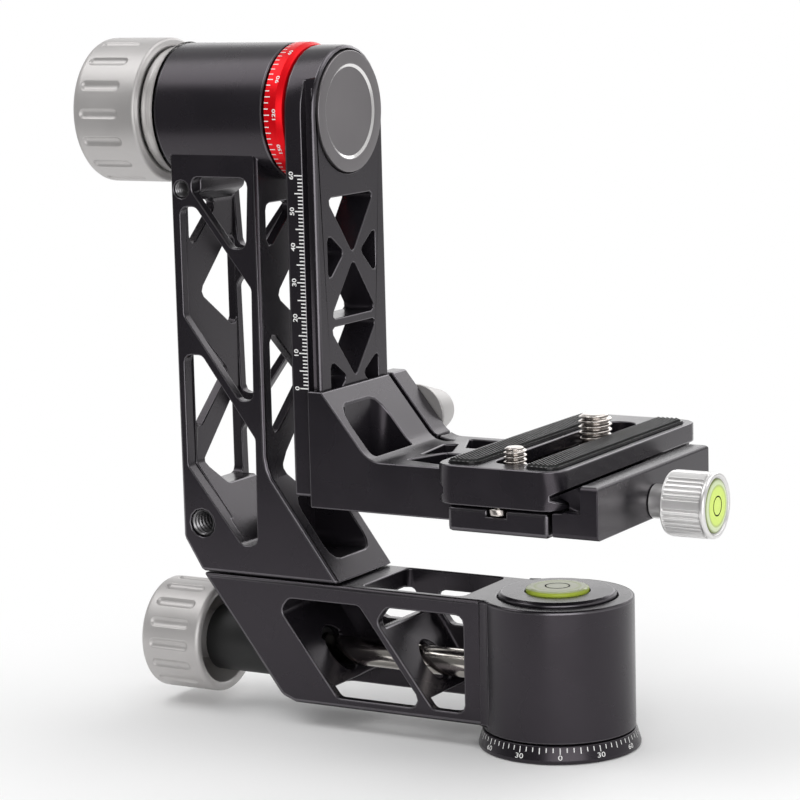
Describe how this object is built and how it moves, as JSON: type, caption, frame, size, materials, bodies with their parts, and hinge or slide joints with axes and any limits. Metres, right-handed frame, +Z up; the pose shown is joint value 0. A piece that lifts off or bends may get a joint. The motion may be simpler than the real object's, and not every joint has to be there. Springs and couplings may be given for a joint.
{
  "type": "gimbal head",
  "caption": "Side-mount tripod gimbal head: panning base, skeleton lower and upright arms, swinging arm with ruler, and a height-adjustable L bracket with clamp and quick-release plate.",
  "frame": {"origin": "on the pan axis, in the plane of the base's underside, at the mouth of the tripod socket", "axes": "+Z up along the pan axis; +X from the upright arm towards the clamp's knob, along the tilt axis; +Y from the ruler side of the swing arm to the side of the tapered height knob"},
  "size_m": [0.1939, 0.0914, 0.1971],
  "materials": {
    "black_anodised": "satin black anodised",
    "dark_sleeve": "matte black",
    "silver_anodised": "fine satin silver",
    "grey_cap": "satin grey",
    "red_ring": "satin red anodised with white figures",
    "chrome_rod": "polished",
    "steel": "plain turned steel",
    "brass": "plain",
    "rubber": "black, with a diamond pattern",
    "bubble_level": "clear yellow-green liquid level"
  },
  "bodies": {
    "base": {"degree_ring": "black_anodised", "tripod_insert": "steel", "pan_spindle": "steel", "base_screw_1": "steel", "base_screw_2": "steel", "base_screw_3": "steel", "pan_thrust_washer": "brass", "spindle_retainer": "steel"},
    "frame": {"lower_arm": "black_anodised", "upright_arm": "black_anodised", "foot_screw_1": "steel", "foot_screw_2": "steel", "pan_bearing_lower": "steel", "pan_bearing_upper": "steel", "tilt_bearing_inner": "steel", "tilt_bearing_outer": "steel", "pan_cap": "black_anodised", "base_level": "bubble_level", "pan_sleeve": "dark_sleeve", "tilt_collar": "silver_anodised"},
    "pan_brake": {"pan_brake_pad": "brass"},
    "pan_knob": {"pan_rod": "chrome_rod", "pan_knob": "silver_anodised", "pan_knob_cap": "grey_cap"},
    "tilt_brake": {"tilt_brake_pad": "brass"},
    "tilt_knob": {"tilt_stud": "steel", "tilt_knob": "silver_anodised", "tilt_knob_cap": "grey_cap"},
    "swing": {"swing_arm": "black_anodised", "tilt_shaft": "steel", "angle_ring": "red_ring", "hub_cap": "grey_cap", "hub_screw_1": "steel", "hub_screw_2": "steel", "hub_screw_3": "steel"},
    "platform": {"l_bracket": "black_anodised", "clamp_body": "black_anodised", "clamp_bolt_1": "steel", "clamp_bolt_2": "steel"},
    "split_jaw": {"bracket_jaw": "black_anodised"},
    "height_knob": {"height_stud": "steel", "height_knob": "silver_anodised"},
    "clamp_jaw": {"clamp_jaw": "black_anodised", "guide_pin_1": "steel", "guide_pin_2": "steel"},
    "clamp_knob": {"clamp_stud": "steel", "clamp_knob": "silver_anodised", "clamp_level": "bubble_level"},
    "plate": {"quick_release_plate": "black_anodised", "pad_left": "rubber", "pad_right": "rubber", "stop_pin_front": "steel", "stop_pin_rear": "steel"},
    "small_clip": {"small_screw_clip": "steel"},
    "small_screw": {"small_screw": "steel"},
    "large_clip": {"large_screw_clip": "steel"},
    "large_screw": {"large_screw": "steel"}
  },
  "joints": [
    {"name": "pan", "type": "hinge", "parent": "base", "child": "frame", "pos_m": [0, 0, 0.02], "axis": [0, 0, 1], "continuous": true},
    {"name": "pan_brake_travel", "type": "slide", "parent": "frame", "child": "pan_brake", "axis": [-1, 0, 0], "range_m": [0, 0.00125]},
    {"name": "pan_knob_turn", "type": "hinge", "parent": "pan_brake", "child": "pan_knob", "pos_m": [-0.1105, 0, 0.0196], "axis": [-1, 0, 0], "range_deg": [0, 360.5]},
    {"name": "tilt_brake_travel", "type": "slide", "parent": "frame", "child": "tilt_brake", "axis": [-1, 0, 0], "range_m": [0, 0.00125]},
    {"name": "tilt_knob_turn", "type": "hinge", "parent": "tilt_brake", "child": "tilt_knob", "pos_m": [-0.1225, 0, 0.1761], "axis": [-1, 0, 0], "range_deg": [0, 360.5]},
    {"name": "tilt", "type": "hinge", "parent": "frame", "child": "swing", "pos_m": [-0.077, 0, 0.1761], "axis": [1, 0, 0], "continuous": true},
    {"name": "height", "type": "slide", "parent": "swing", "child": "platform", "axis": [0, 0, 1], "range_m": [0, 0.058]},
    {"name": "split_jaw_travel", "type": "slide", "parent": "platform", "child": "split_jaw", "axis": [0, 1, 0], "range_m": [0, 0.001]},
    {"name": "height_knob_turn", "type": "hinge", "parent": "split_jaw", "child": "height_knob", "pos_m": [-0.0598, 0.0275, 0.0853], "axis": [0, 1, 0], "range_deg": [0, 360.5]},
    {"name": "clamp_jaw_travel", "type": "slide", "parent": "platform", "child": "clamp_jaw", "axis": [1, 0, 0], "range_m": [0, 0.0045]},
    {"name": "clamp_knob_turn", "type": "hinge", "parent": "clamp_jaw", "child": "clamp_knob", "pos_m": [0.0353, 0, 0.0712], "axis": [1, 0, 0], "range_deg": [0, 1080.5]},
    {"name": "plate_slide", "type": "slide", "parent": "platform", "child": "plate", "axis": [0, 1, 0], "range_m": [-0.013, 0]},
    {"name": "small_screw_slide", "type": "slide", "parent": "plate", "child": "small_clip", "axis": [0, 1, 0], "range_m": [0, 0.012]},
    {"name": "small_screw_turn", "type": "hinge", "parent": "small_clip", "child": "small_screw", "pos_m": [0, -0.0237, 0.0789], "axis": [0, 0, 1], "continuous": true},
    {"name": "large_screw_slide", "type": "slide", "parent": "plate", "child": "large_clip", "axis": [0, 1, 0], "range_m": [-0.01, 0.014]},
    {"name": "large_screw_turn", "type": "hinge", "parent": "large_clip", "child": "large_screw", "pos_m": [0, 0.0252, 0.0789], "axis": [0, 0, 1], "continuous": true}
  ],
  "couplings": [
    {"joint": "pan_knob_turn", "follows": "pan_brake_travel", "rad_per_m": 5026.5},
    {"joint": "tilt_knob_turn", "follows": "tilt_brake_travel", "rad_per_m": 5026.5},
    {"joint": "height_knob_turn", "follows": "split_jaw_travel", "rad_per_m": 6283.2},
    {"joint": "clamp_knob_turn", "follows": "clamp_jaw_travel", "rad_per_m": 4188.8}
  ]
}
